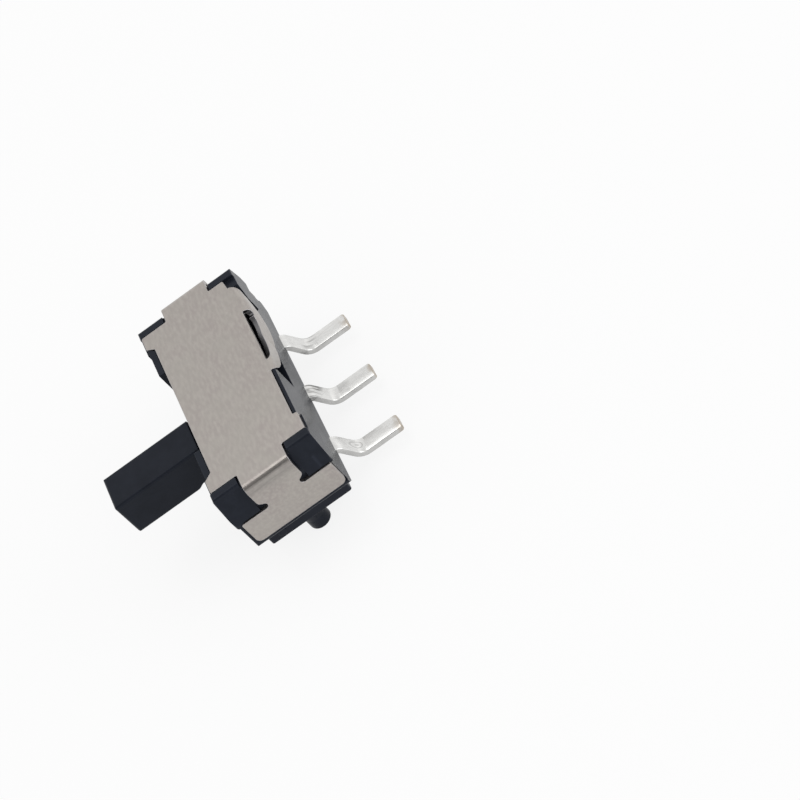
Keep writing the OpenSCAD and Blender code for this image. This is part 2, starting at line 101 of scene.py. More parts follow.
class Sketch:
    """Adds nodes to a node tree and links them, by socket name."""

    def __init__(self, tree: bpy.types.NodeTree) -> None:
        """Starts an empty sketch in a tree."""
        self.tree = tree
        tree.nodes.clear()

    def add(self, kind: str, inputs: dict[Any, Any] | None = None, **settings: Any) -> bpy.types.Node:
        """Adds one node.

        Args:
            kind: The node's type name.
            inputs: Values or sockets for its inputs, by name or index.
            **settings: Attributes of the node itself.

        Returns:
            The new node.
        """
        node = self.tree.nodes.new(kind)
        for name, value in settings.items():
            setattr(node, name, value)
        for key, value in (inputs or {}).items():
            if isinstance(value, bpy.types.NodeSocket):
                self.tree.links.new(value, node.inputs[key])
            else:
                node.inputs[key].default_value = value
        return node

    def maths(self, operation: str, *values: Any, clamp: bool = False) -> bpy.types.NodeSocket:
        """Adds a maths node on numbers or sockets, and returns its result."""
        inputs = dict(enumerate(values))
        return self.add("ShaderNodeMath", inputs, operation=operation, use_clamp=clamp).outputs[0]

    def scaled(self, vector: Any, factors: Any) -> bpy.types.NodeSocket:
        """Returns a vector with its X, Y and Z multiplied by a factor each."""
        return self.add("ShaderNodeVectorMath", {0: vector, 1: factors}, operation="MULTIPLY").outputs[0]

    def alike(self, first: Any, second: Any) -> bpy.types.NodeSocket:
        """Returns how alike two directions are: 1 for the same one, 0 at a right angle."""
        node = self.add("ShaderNodeVectorMath", {0: first, 1: second}, operation="DOT_PRODUCT")
        return node.outputs["Value"]

    def between(self, factor: Any, low: Any, high: Any) -> bpy.types.NodeSocket:
        """Returns a mix of two colours: low at the factor 0, and high at 1."""
        return self.add("ShaderNodeMix", {0: factor, 6: low, 7: high}, data_type="RGBA").outputs[2]

    def ramp(self, value: Any, start: float, end: float, low: float, high: float) -> bpy.types.NodeSocket:
        """Maps start to end of a value onto low to high, held at both ends."""
        return self.add("ShaderNodeMapRange", {0: value, 1: start, 2: end, 3: low, 4: high}).outputs[0]

    def band(self, value: Any, middle: float, half: float, soft: float) -> bpy.types.NodeSocket:
        """Masks a band of values: 1 within half of its middle, 0 past its soft edge."""
        off = self.maths("ABSOLUTE", self.maths("SUBTRACT", value, middle))
        return self.ramp(off, half, half + soft, 1.0, 0.0)

    def product(self, *values: Any) -> bpy.types.NodeSocket:
        """Multiplies numbers or sockets.

        Args:
            *values: Two or more of them.

        Returns:
            The product's socket.
        """
        result = values[0]
        for value in values[1:]:
            result = self.maths("MULTIPLY", result, value)
        return result

    def place(self) -> tuple[list[bpy.types.NodeSocket], list[bpy.types.NodeSocket]]:
        """Splits the object's own coordinates.

        Returns:
            The X, Y and Z of the place on the surface, and those of its normal.
        """
        coordinates = self.add("ShaderNodeTexCoord").outputs
        position, normal = (
            list(self.add("ShaderNodeSeparateXYZ", {0: coordinates[name]}).outputs)
            for name in ("Object", "Normal")
        )
        return position, normal


class Effect:
    """A shared shader node group, built once."""

    name = "effect"
    inputs: dict[str, tuple[str, Any]] = {}
    outputs: dict[str, str] = {}

    def group(self) -> bpy.types.NodeTree:
        """Returns the group, made on first use."""
        found = bpy.data.node_groups.get(self.name)
        return found or self._make()

    def _make(self) -> bpy.types.NodeTree:
        """Makes the group's sockets, then its nodes.

        Returns:
            The finished group.
        """
        tree = bpy.data.node_groups.new(self.name, "ShaderNodeTree")
        for name, (kind, default) in self.inputs.items():
            socket = tree.interface.new_socket(name, in_out="INPUT", socket_type=kind)
            socket.default_value = default
        for name, kind in self.outputs.items():
            tree.interface.new_socket(name, in_out="OUTPUT", socket_type=kind)
        sketch = Sketch(tree)
        start = sketch.add("NodeGroupInput")
        end = sketch.add("NodeGroupOutput")
        for name, socket in self.nodes(sketch, start.outputs).items():
            tree.links.new(socket, end.inputs[name])
        return tree

    def nodes(self, sketch: Sketch, given: Any) -> dict[str, bpy.types.NodeSocket]:
        """Adds the group's nodes, and returns a socket for each output by name."""
        raise NotImplementedError

    def place(self, sketch: Sketch, **values: Any) -> bpy.types.NodeOutputs:
        """Places the group in a tree, with its inputs' values by name and _ for a space."""
        named = {key.replace("_", " "): value for key, value in values.items()}
        return sketch.add("ShaderNodeGroup", named, node_tree=self.group()).outputs


def millimetres(sketch: Sketch) -> bpy.types.NodeSocket:
    """Returns the place on the surface in millimetres, in the part's own frame."""
    place = sketch.add("ShaderNodeTexCoord").outputs["Object"]
    return sketch.scaled(place, (PER_MM,) * 3)


class Grain(Effect):
    """Surface grain: a fine height for the bump, and broad and small patches."""

    name = "grain"
    inputs = {
        "Stretch": ("NodeSocketVector", (1.0, 1.0, 1.0)),
        "Fine": ("NodeSocketFloat", 12.0),
        "Coarse": ("NodeSocketFloat", 1.0),
    }
    outputs = {"Height": "NodeSocketFloat", "Patches": "NodeSocketFloat", "Specks": "NodeSocketFloat"}
    SPECKS_A_PATCH = 4.0

    def nodes(self, sketch: Sketch, given: Any) -> dict[str, bpy.types.NodeSocket]:
        """Adds noises at three scales, in cycles a millimetre.

        Args:
            sketch: Adds nodes to the group.
            given: The group's inputs.

        Returns:
            The three noises' sockets.
        """
        place = millimetres(sketch)
        drawn = sketch.scaled(place, given["Stretch"])
        fine = sketch.add("ShaderNodeTexNoise", {"Vector": drawn, "Scale": given["Fine"], "Detail": 3.0})
        broad = {"Vector": place, "Scale": given["Coarse"], "Detail": 4.0}
        coarse = sketch.add("ShaderNodeTexNoise", broad)
        small = sketch.maths("MULTIPLY", given["Coarse"], self.SPECKS_A_PATCH)
        specks = sketch.add("ShaderNodeTexNoise", {"Vector": drawn, "Scale": small, "Detail": 2.0})
        return {
            "Height": fine.outputs[0],
            "Patches": sketch.ramp(coarse.outputs[0], 0.35, 0.65, 0.0, 1.0),
            "Specks": sketch.ramp(specks.outputs[0], 0.4, 0.7, 0.0, 1.0),
        }


class Hairlines(Effect):
    """Sparse fine scratches in one direction."""

    name = "hairlines"
    inputs = {
        "Stretch": ("NodeSocketVector", (0.4, 9.0, 9.0)),
        "Start": ("NodeSocketFloat", 0.68),
        "Share": ("NodeSocketFloat", 0.3),
    }
    outputs = {"Scratches": "NodeSocketFloat"}
    PEAK_RISE = 0.08
    RUN_SCALE = 0.9
    RUN_START, RUN_FULL = 0.5, 0.62

    def nodes(self, sketch: Sketch, given: Any) -> dict[str, bpy.types.NodeSocket]:
        """Keeps the peaks of a stretched noise, in broken runs.

        Args:
            sketch: Adds nodes to the group.
            given: The group's inputs.

        Returns:
            The scratches' mask.
        """
        place = millimetres(sketch)
        drawn = sketch.scaled(place, given["Stretch"])
        lines = sketch.add("ShaderNodeTexNoise", {"Vector": drawn, "Scale": 1.0, "Detail": 1.0}).outputs[0]
        broad = {"Vector": place, "Scale": self.RUN_SCALE, "Detail": 1.0}
        runs = sketch.add("ShaderNodeTexNoise", broad).outputs[0]
        full = sketch.maths("ADD", given["Start"], self.PEAK_RISE)
        peaks = sketch.ramp(lines, given["Start"], full, 0.0, 1.0)
        kept = sketch.ramp(runs, self.RUN_START, self.RUN_FULL, 0.0, given["Share"])
        return {"Scratches": sketch.maths("MULTIPLY", peaks, kept)}


class SoftEdge(Effect):
    """The broken edges of a moulded or stamped piece: a normal and an edge mask."""

    name = "soft_edge"
    inputs = {"Radius": ("NodeSocketFloat", 0.03 * MM)}
    outputs = {"Normal": "NodeSocketVector", "Edge": "NodeSocketFloat"}

    def nodes(self, sketch: Sketch, given: Any) -> dict[str, bpy.types.NodeSocket]:
        """Compares the rounded normal with the plain one.

        Args:
            sketch: Adds nodes to the group.
            given: The group's inputs.

        Returns:
            The rounded normal, and the mask of the edges.
        """
        radius = {"Radius": given["Radius"]}
        rounded = sketch.add("ShaderNodeBevel", radius, samples=BEVEL_SAMPLES).outputs[0]
        plain = sketch.add("ShaderNodeNewGeometry").outputs["Normal"]
        alike = sketch.alike(rounded, plain)
        return {"Normal": rounded, "Edge": sketch.ramp(alike, 1.0, 0.8, 0.0, 1.0)}


GRAIN = Grain()
HAIRLINES = Hairlines()
SOFT_EDGE = SoftEdge()


@dataclass(frozen=True)
class Finish:
    """A procedural finish with soft edges and a painted highlight along them, fine grain, patches and
    hairlines.
    """

    name: str
    colour: Colour
    patch_colour: Colour
    speck_colour: Colour
    edge_highlight_and_mark_colour: Colour
    roughness: float
    patch_roughness: float
    scratch_roughness: float
    metallic: float = 0.0
    specular: float = 0.5
    specular_tint: Colour = (1.0, 1.0, 1.0, 1.0)
    speck_share: float = 0.5
    edge_radius: float = 0.03 * MM
    bump: float = 0.15
    bump_height: float = 0.004 * MM
    stretch: Point = (1.0, 1.0, 1.0)
    fine: float = 12.0
    coarse: float = 1.0
    scratch_stretch: Point = (0.4, 9.0, 9.0)
    scratch_share: float = 0.3

    def material(self) -> bpy.types.Material:
        """Returns the finish's material, made on first use."""
        return bpy.data.materials.get(self.name) or self._make()

    def _make(self) -> bpy.types.Material:
        """Builds the material.

        Returns:
            The new material.
        """
        material = bpy.data.materials.new(self.name)
        material.use_nodes = True
        sketch = Sketch(material.node_tree)
        grain = GRAIN.place(sketch, Stretch=self.stretch, Fine=self.fine, Coarse=self.coarse)
        drawn = HAIRLINES.place(sketch, Stretch=self.scratch_stretch, Share=self.scratch_share)
        lines = drawn["Scratches"]
        edge = SOFT_EDGE.place(sketch, Radius=self.edge_radius)
        colour = sketch.between(grain["Patches"], self.colour, self.patch_colour)
        specks = sketch.maths("MULTIPLY", grain["Specks"], self.speck_share)
        colour = sketch.between(specks, colour, self.speck_colour)
        colour = self.marks(sketch, colour)
        # painted highlight: the colour is lifted towards a lighter one along the edges
        colour = sketch.between(edge["Edge"], colour, self.edge_highlight_and_mark_colour)
        roughness = sketch.ramp(grain["Patches"], 0.0, 1.0, self.roughness, self.patch_roughness)
        roughness = sketch.ramp(lines, 0.0, 1.0, roughness, self.scratch_roughness)
        height = sketch.maths("SUBTRACT", grain["Height"], lines)
        bump = sketch.add("ShaderNodeBump", {
            "Strength": self.bump, "Distance": self.bump_height, "Height": height,
            "Normal": edge["Normal"],
        })
        surface = sketch.add("ShaderNodeBsdfPrincipled", {
            "Base Color": colour, "Roughness": roughness, "Normal": bump.outputs[0],
            "Metallic": self.metallic, "Specular IOR Level": self.specular,
            "Specular Tint": self.specular_tint,
        })
        sketch.add("ShaderNodeOutputMaterial", {"Surface": surface.outputs[0]})
        return material

    def marks(self, sketch: Sketch, colour: bpy.types.NodeSocket) -> bpy.types.NodeSocket:
        """Returns the colour with the finish's own marks added: here, none."""
        return colour


@dataclass(frozen=True)
class PlatedStrip(Finish):
    """Silver-plated strip with die marks at its bends, whose sheared faces show the base metal.

    Distances of the cut and the stain are measured back from the tip.
    """

    tip_y: float = 0.0
    tip_colour: Colour = grey(0.36, (1.0, 0.76, 0.5))
    mark_colour: Colour = grey(0.3, (1.0, 0.99, 0.97))
    side_colour: Colour = grey(0.4, (1.0, 0.99, 0.97))
    side_share: float = 0.4
    bends: tuple[float, float] = (1.8 * MM, 2.75 * MM)
    bend_soft: float = 0.15 * MM
    ring_at: tuple[float, float] = (2.46 * MM, 2.24 * MM)
    ring_reach: float = 0.26 * MM
    ring_pitch: float = 0.11 * MM
    ring_share: float = 0.4
    cut_from: float = 0.06 * MM
    cut_full: float = 0.01 * MM
    cut_share: float = 0.85
    stain_from: float = 0.32 * MM
    stain_full: float = 0.05 * MM
    stain_share: float = 0.5

    def marks(self, sketch: Sketch, colour: bpy.types.NodeSocket) -> bpy.types.NodeSocket:
        """Colours the sheared sides, the die marks at the bends, one ringed dent and the sheared tip.

        Args:
            sketch: Adds nodes to the material.
            colour: The colour so far.

        Returns:
            The marked colour.
        """
        (across, along, _), (aside, _, facing) = sketch.place()
        side = sketch.ramp(sketch.maths("ABSOLUTE", aside), 0.6, 0.9, 0.0, 1.0)
        shear = HAIRLINES.place(sketch, Stretch=(1.0, 0.6, 9.0), Start=0.5, Share=0.9)["Scratches"]
        colour = sketch.between(sketch.product(side, self.side_share), colour, self.side_colour)
        colour = sketch.between(sketch.product(side, shear), colour, self.mark_colour)
        low, high = self.bends
        bent = sketch.band(along, (low + high) / 2, (high - low) / 2, self.bend_soft)
        worn = HAIRLINES.place(sketch, Stretch=(8.0, 1.2, 1.2), Start=0.5, Share=1.0)["Scratches"]
        colour = sketch.between(sketch.product(worn, bent), colour, self.mark_colour)
        squares = [
            sketch.maths("POWER", sketch.maths("SUBTRACT", value, at), 2.0)
            for value, at in zip((across, along), self.ring_at)
        ]
        away = sketch.maths("POWER", sketch.maths("ADD", *squares), 0.5)
        waves = sketch.maths("SINE", sketch.product(away, 2 * math.pi / self.ring_pitch))
        rings = sketch.ramp(waves, 0.2, 0.8, 0.0, self.ring_share)
        near = sketch.ramp(away, self.ring_reach, 0.7 * self.ring_reach, 0.0, 1.0)
        upward = sketch.ramp(facing, 0.2, 0.5, 0.0, 1.0)
        colour = sketch.between(sketch.product(rings, near, upward), colour, self.mark_colour)
        patches = GRAIN.place(sketch, Coarse=2.6)["Patches"]
        cut = sketch.ramp(
            along, self.tip_y - self.cut_from, self.tip_y - self.cut_full, 0.0, self.cut_share
        )
        stain = sketch.ramp(
            along, self.tip_y - self.stain_from, self.tip_y - self.stain_full, 0.0, self.stain_share
        )
        cut = sketch.product(cut, sketch.ramp(patches, 0.0, 0.6, 0.35, 1.0))
        stain = sketch.product(stain, sketch.ramp(patches, 0.45, 0.9, 0.0, 1.0))
        return sketch.between(sketch.maths("MAXIMUM", cut, stain), colour, self.tip_colour)


@dataclass(frozen=True)
class FoldedSheet(Finish):
    """Plated sheet with darker sheared edges, partly their own tone and partly painted shade, and painted
    shade with streaks below its end folds.

    Distances of the cut, the streaks and the shade are measured down from the top face, and
    those of the flap inwards from its outer face.
    """

    top_z: float = 0.0
    flap_x: float = 0.0
    # colour and share of the painted shade on sheared and inward faces, partly the sheared metal's own
    # tone
    sheared_and_shade_colour: Colour = grey(0.06, (0.9, 0.96, 1.1))
    sheared_and_shade_share: float = 0.85
    # colour of the painted shade, with streaks, below the end folds
    fold_shade_and_streak_colour: Colour = grey(0.2, (1.04, 1.0, 0.95))
    cut_from: float = 0.01 * MM
    cut_full: float = 0.03 * MM
    flap_from: float = 0.6 * MM
    flap_full: float = 0.5 * MM
    fold_half: float = 0.1 * MM
    fold_soft: float = 0.08 * MM
    streaks_from: float = 0.85 * MM
    streaks_full: float = 0.3 * MM
    shade_from: float = 0.45 * MM
    shade_full: float = 0.27 * MM
    shade_share: float = 0.2

    def marks(self, sketch: Sketch, colour: bpy.types.NodeSocket) -> bpy.types.NodeSocket:
        """Darkens the sheared faces, partly as their own tone and partly as painted shade, and paints
        shade with streaks on the necks below the end folds.

        Args:
            sketch: Adds nodes to the material.
            colour: The colour so far.

        Returns:
            The marked colour.
        """
        (across, _, height), (_, outward, _) = sketch.place()
        middle = sketch.maths("ABSOLUTE", across)
        # painted shade: faces turned towards -Y, into the body, are darkened
        inner = sketch.ramp(outward, -0.35, -0.75, 0.0, self.sheared_and_shade_share)
        # sheared faces below the top face, away from the flaps: partly their own darker tone, partly
        # painted shade
        cut = sketch.product(
            sketch.band(outward, 0.0, 0.2, 0.1),
            sketch.ramp(
                height, self.top_z - self.cut_from, self.top_z - self.cut_full, 0.0, self.sheared_and_shade_share
            ),
            sketch.ramp(middle, self.flap_x - self.flap_from, self.flap_x - self.flap_full, 1.0, 0.0),
        )
        colour = sketch.between(sketch.maths("MAXIMUM", inner, cut), colour, self.sheared_and_shade_colour)
        # painted shade below the end folds: darkest close under the fold, fading downwards, broken by
        # streaks
        neck = sketch.band(middle, self.flap_x, self.fold_half, self.fold_soft)
        below = sketch.ramp(
            height, self.top_z - self.streaks_from, self.top_z - self.streaks_full, 0.0, 1.0
        )
        fold_shade = sketch.ramp(
            height, self.top_z - self.shade_from, self.top_z - self.shade_full, 0.0, self.shade_share
        )
        streaks = GRAIN.place(sketch, Stretch=(1.0, 0.3, 3.0), Coarse=1.1)["Specks"]
        streaks = sketch.product(below, sketch.ramp(streaks, 0.0, 1.0, 0.08, 0.3))
        fold_shade_and_streaks = sketch.product(neck, sketch.maths("ADD", fold_shade, streaks, clamp=True))
        return sketch.between(fold_shade_and_streaks, colour, self.fold_shade_and_streak_colour)


@dataclass(frozen=True)
class MouldedBody(Finish):
    """Moulded plastic with one drag mark beside a corner post."""

    drag_at: Point = (4.25 * MM, 1.43 * MM, 2.66 * MM)
    drag_half: Point = (0.2 * MM, 0.015 * MM, 0.2 * MM)
    drag_soft: float = 0.05 * MM
    drag_share: float = 0.6

    def marks(self, sketch: Sketch, colour: bpy.types.NodeSocket) -> bpy.types.NodeSocket:
        """Adds the drag mark.

        Args:
            sketch: Adds nodes to the material.
            colour: The colour so far.

        Returns:
            The marked colour.
        """
        position, _ = sketch.place()
        near = [
            sketch.band(value, middle, half, self.drag_soft)
            for value, middle, half in zip(position, self.drag_at, self.drag_half)
        ]
        return sketch.between(sketch.product(*near, self.drag_share), colour, self.edge_highlight_and_mark_colour)


BLUE_BLACK = (0.82, 0.95, 1.35)
BLUE_SHEEN = (0.8, 0.88, 1.0, 1.0)
WARM_METAL = (1.07, 1.0, 0.925)
PINK_METAL = (1.095, 0.995, 0.94)
PALE_METAL = (1.0, 0.98, 0.94)
COOL_LIGHT = (0.95, 0.97, 1.0)
SILVER = (1.0, 0.995, 0.975)

HOUSING_FINISH = MouldedBody(
    "black_housing", grey(0.0135, BLUE_BLACK), grey(0.0165, BLUE_BLACK), grey(0.02, BLUE_BLACK),
    grey(0.03, BLUE_BLACK), roughness=0.21, patch_roughness=0.26, scratch_roughness=0.5, specular=0.15,
    specular_tint=BLUE_SHEEN, fine=16.0, coarse=0.9, scratch_share=0.4,
)
SLIDER_FINISH = Finish(
    "black_slider", grey(0.012, BLUE_BLACK), grey(0.0145, BLUE_BLACK), grey(0.017, BLUE_BLACK),
    grey(0.026, BLUE_BLACK), roughness=0.28, patch_roughness=0.34, scratch_roughness=0.5, specular=0.12,
    specular_tint=BLUE_SHEEN, edge_radius=0.05 * MM, fine=16.0, coarse=0.8,
    scratch_stretch=(9.0, 0.4, 9.0), scratch_share=0.5,
)
COVER_FINISH = FoldedSheet(
    "satin_sheet", grey(0.395, WARM_METAL), grey(0.36, PINK_METAL), grey(0.44, WARM_METAL),
    grey(0.5, (1.0, 0.98, 1.02)), roughness=0.3, patch_roughness=0.36, scratch_roughness=0.4,
    metallic=1.0, speck_share=0.8, bump=0.25, stretch=(0.7, 1.8, 1.8), fine=9.0, coarse=1.3,
    scratch_share=0.25,
    top_z=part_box("cover")[1].z, flap_x=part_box("cover")[1].x,
)
CONTACT_FINISH = Finish(
    "sprung_strip", grey(0.72, PALE_METAL), grey(0.66, (1.0, 0.98, 0.93)), grey(0.74, PALE_METAL),
    grey(0.85), roughness=0.25, patch_roughness=0.32, scratch_roughness=0.4, metallic=1.0, fine=10.0,
)


class StripTree:
    """Geometry nodes that bend a strip along a path and join a pad to it."""

    name = "bent_strip"
    sizes = ("Width", "Thickness", "Edge Round", "Tip Round", "Tip Place", "Centre",
             "Pad Middle", "Pad Level", "Pad Length", "Pad Width")

    def __init__(self) -> None:
        """Builds the tree, with one named input for each size."""
        self.tree = bpy.data.node_groups.new(self.name, "GeometryNodeTree")
        face = self.tree.interface
        face.new_socket("Geometry", in_out="INPUT", socket_type="NodeSocketGeometry")
        for name in self.sizes:
            face.new_socket(name, in_out="INPUT", socket_type="NodeSocketFloat")
        face.new_socket("Material", in_out="INPUT", socket_type="NodeSocketMaterial")
        face.new_socket("Geometry", in_out="OUTPUT", socket_type="NodeSocketGeometry")
        self._build()

    def _build(self) -> None:
        """Adds the tree's nodes."""
        sketch = Sketch(self.tree)
        given = sketch.add("NodeGroupInput").outputs
        bend = sketch.add("GeometryNodeInputNamedAttribute", {"Name": "bend"}, data_type="FLOAT")
        path = sketch.add("GeometryNodeMeshToCurve", {"Mesh": given["Geometry"]}).outputs[0]
        path = self._rounded(sketch, path, bend.outputs[0], BEND_STEPS)
        path = sketch.add("GeometryNodeSetCurveNormal", {"Curve": path}, mode="Z_UP").outputs[0]
        section = self._section(sketch, given["Width"], given["Thickness"])
        section = self._rounded(sketch, section, given["Edge Round"], EDGE_STEPS)
        strip = self._round_tip(sketch, given, self._sweep(sketch, path, section))
        whole = sketch.add("GeometryNodeMeshBoolean", operation="UNION", solver="EXACT")
        self.tree.links.new(strip, whole.inputs["Mesh 2"])
        self.tree.links.new(self._pad(sketch, given), whole.inputs["Mesh 2"])
        end = sketch.add("GeometryNodeRealizeInstances", {"Geometry": whole.outputs[0]}).outputs[0]
        dressed = {"Geometry": end, "Material": given["Material"]}
        end = sketch.add("GeometryNodeSetMaterial", dressed).outputs[0]
        sketch.add("NodeGroupOutput", {"Geometry": end})

    @staticmethod
    def _rounded(sketch: Sketch, curve: Any, radius: Any, steps: int) -> bpy.types.NodeSocket:
        """Rounds a curve's corners, with that many steps in each."""
        inputs = {"Curve": curve, "Radius": radius, "Count": steps}
        return sketch.add("GeometryNodeFilletCurve", inputs, mode="POLY").outputs[0]

    @staticmethod
    def _section(sketch: Sketch, width: Any, thickness: Any) -> bpy.types.NodeSocket:
        """Draws the outline of a flat section."""
        inputs = {"Width": width, "Height": thickness}
        return sketch.add("GeometryNodeCurvePrimitiveQuadrilateral", inputs).outputs[0]

    @staticmethod
    def _sweep(sketch: Sketch, path: Any, section: Any) -> bpy.types.NodeSocket:
        """Sweeps a section along a path and closes both ends."""
        inputs = {"Curve": path, "Profile Curve": section, "Fill Caps": True}
        return sketch.add("GeometryNodeCurveToMesh", inputs).outputs[0]

    def _pad(self, sketch: Sketch, given: Any) -> bpy.types.NodeSocket:
        """Makes the contact pad, a flat plate as thick as the strip.

        Args:
            sketch: Adds nodes to the tree.
            given: The tree's inputs.

        Returns:
            The pad's geometry.
        """
        half = sketch.maths("MULTIPLY", given["Pad Length"], 0.5)
        ends = []
        for way in ("SUBTRACT", "ADD"):
            x = sketch.maths(way, given["Pad Middle"], half)
            ends.append(sketch.add("ShaderNodeCombineXYZ", {0: x, 2: given["Pad Level"]}).outputs[0])
        line = sketch.add("GeometryNodeCurvePrimitiveLine", {"Start": ends[0], "End": ends[1]}).outputs[0]
        line = sketch.add("GeometryNodeSetCurveNormal", {"Curve": line}, mode="Z_UP").outputs[0]
        section = self._section(sketch, given["Pad Width"], given["Thickness"])
        return self._sweep(sketch, line, section)

    def _round_tip(self, sketch: Sketch, given: Any, strip: bpy.types.NodeSocket) -> bpy.types.NodeSocket:
        """Narrows the strip towards its tip along a quarter circle.

        Args:
            sketch: Adds nodes to the tree.
            given: The tree's inputs.
            strip: The strip's geometry.

        Returns:
            The rounded strip's geometry.
        """
        place = sketch.add("GeometryNodeInputPosition").outputs[0]
        parts = sketch.add("ShaderNodeSeparateXYZ", {0: place}).outputs
        rounding = given["Tip Round"]
        start = sketch.maths("SUBTRACT", given["Tip Place"], rounding)
        past = sketch.maths("MAXIMUM", sketch.maths("SUBTRACT", parts["Y"], start), 0.0)
        square = sketch.maths("SUBTRACT", sketch.product(rounding, rounding), sketch.product(past, past))
        left = sketch.maths("SQRT", sketch.maths("MAXIMUM", square, 0.0))
        half = sketch.maths("MULTIPLY", given["Width"], 0.5)
        width = sketch.maths("ADD", sketch.maths("SUBTRACT", half, rounding), left)
        factor = sketch.maths("DIVIDE", width, half)
        aside = sketch.maths("MULTIPLY", sketch.maths("SUBTRACT", parts["X"], given["Centre"]), factor)
        placed = sketch.add("ShaderNodeCombineXYZ", {
            0: sketch.maths("ADD", given["Centre"], aside), 1: parts["Y"], 2: parts["Z"],
        }).outputs[0]
        return sketch.add("GeometryNodeSetPosition", {"Geometry": strip, "Position": placed}).outputs[0]

    def identifier(self, name: str) -> str:
        """Returns the identifier of the input with that name."""
        return next(s.identifier for s in self.tree.interface.items_tree
                    if s.item_type == "SOCKET" and s.in_out == "INPUT" and s.name == name)


@dataclass
class Strip:
    """One bent strip of metal, swept along a path."""

    name: str
    tree: StripTree
    path: list[tuple[Point, float]]
    sizes: dict[str, float]
    finish: Finish

    def build(self) -> bpy.types.Object:
        """Sweeps the strip and makes it a plain mesh.

        Returns:
            The strip's object.
        """
        mesh = bpy.data.meshes.new(self.name + "_path")
        points = [p for p, _ in self.path]
        mesh.from_pydata(points, [(i, i + 1) for i in range(len(points) - 1)], [])
        bend = mesh.attributes.new("bend", "FLOAT", "POINT")
        bend.data.foreach_set("value", [r for _, r in self.path])
        carrier = bpy.data.objects.new(self.name + "_carrier", mesh)
        bpy.context.scene.collection.objects.link(carrier)
        modifier = carrier.modifiers.new("strip", "NODES")
        modifier.node_group = self.tree.tree
        for name, value in self.sizes.items():
            modifier[self.tree.identifier(name)] = value
        modifier[self.tree.identifier("Material")] = self.finish.material()
        graph = bpy.context.evaluated_depsgraph_get()
        made = bpy.data.meshes.new_from_object(carrier.evaluated_get(graph))
        carrier.modifiers.remove(modifier)
        bpy.data.objects.remove(carrier)
        made.name = self.name
        piece = bpy.data.objects.new(self.name, made)
        bpy.context.scene.collection.objects.link(piece)
        smooth_by_angle(made, SMOOTH_DEGREES)
        return piece


def smooth_by_angle(mesh: bpy.types.Mesh, degrees: float) -> None:
    """Shades a mesh smooth, with sharp edges where its faces turn by more than an angle.

    Args:
        mesh: The mesh.
        degrees: The angle.
    """
    work = bmesh.new()
    work.from_mesh(mesh)
    limit = math.radians(degrees)
    for face in work.faces:
        face.smooth = True
    for edge in work.edges:
        edge.smooth = edge.calc_face_angle(math.pi) < limit
    work.to_mesh(mesh)
    work.free()


@dataclass
class Leads:
    """The three terminals: strips across the base, bent down to the board."""

    width: float = 0.6 * MM
    thickness: float = 0.2 * MM
    wall_bend_y: float = 1.765 * MM
    slope: float = math.radians(62.0)
    wall_bend: float = 0.3 * MM
    foot_bend: float = 0.45 * MM
    tip_round: float = 0.1 * MM
    edge_round: float = 0.025 * MM
    pad_width: float = 1.4 * MM
    outer_pad_length: float = 1.6 * MM
    names: tuple[str, ...] = ("terminal_far", "terminal_common", "terminal_near")

    def centre(self, name: str) -> float:
        """Finds a lead's middle along the body.

        Args:
            name: The terminal's node.

        Returns:
            The X of its middle.
        """
        low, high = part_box(name)
        if name == "terminal_common":
            return (low.x + high.x) / 2
        outer = high.x if high.x > -low.x else low.x
        return outer - math.copysign(self.width / 2, outer)

    def pad(self, name: str) -> dict[str, float]:
        """Works out a terminal's contact pad.

        Args:
            name: The terminal's node.

        Returns:
            The pad's sizes, by the names of the strip's inputs.
        """
        low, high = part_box(name)
        middle, length = (low.x + high.x) / 2, high.x - low.x
        if name != "terminal_common":
            inner = min(low.x, high.x, key=abs)
            length = self.outer_pad_length
            middle = inner + math.copysign(length / 2, inner)
        return {"Pad Middle": middle, "Pad Length": length, "Pad Width": self.pad_width,
                "Pad Level": high.z - self.thickness / 2}

    def path(self, name: str) -> list[tuple[Point, float]]:
        """Lays out a lead's middle line.

        Args:
            name: The terminal's node.

        Returns:
            Its points, with a bend radius each.
        """
        low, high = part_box(name)
        x = self.centre(name)
        top = high.z - self.thickness / 2
        foot = low.z + self.thickness / 2
        foot_y = self.wall_bend_y + (top - foot) / math.tan(self.slope)
        turns = [i / TIP_STEPS * math.pi / 2 for i in range(TIP_STEPS + 1)]
        tip = [high.y - self.tip_round * (1 - math.sin(turn)) for turn in turns]
        return [((x, low.y, top), 0.0), ((x, self.wall_bend_y, top), self.wall_bend),
                ((x, foot_y, foot), self.foot_bend)] + [((x, y, foot), 0.0) for y in tip]

    def build(self, tree: StripTree) -> list[bpy.types.Object]:
        """Builds the three terminals.

        Args:
            tree: The strip's nodes.

        Returns:
            The terminals' objects.
        """
        _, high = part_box(self.names[0])
        finish = PlatedStrip(
            "plated_strip", grey(0.82, SILVER), grey(0.72, SILVER), grey(0.9, SILVER), grey(0.92),
            roughness=0.16, patch_roughness=0.28, scratch_roughness=0.45, metallic=1.0,
            edge_radius=0.015 * MM, bump=0.2, bump_height=0.002 * MM, stretch=(2.5, 0.6, 0.6),
            fine=5.0, coarse=1.8, scratch_stretch=(7.0, 0.9, 0.9), scratch_share=0.6, tip_y=high.y,
        )
        pieces = []
        for name in self.names:
            sizes = {
                "Width": self.width, "Thickness": self.thickness, "Edge Round": self.edge_round,
                "Tip Round": self.tip_round, "Tip Place": high.y, "Centre": self.centre(name),
                **self.pad(name),
            }
            piece = Strip(name.replace("terminal", "lead"), tree, self.path(name), sizes, finish).build()
            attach(piece, Body.BASE.value)
            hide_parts(name)
            pieces.append(piece)
            log.info("%s: %d faces", piece.name, len(piece.data.polygons))
        return pieces


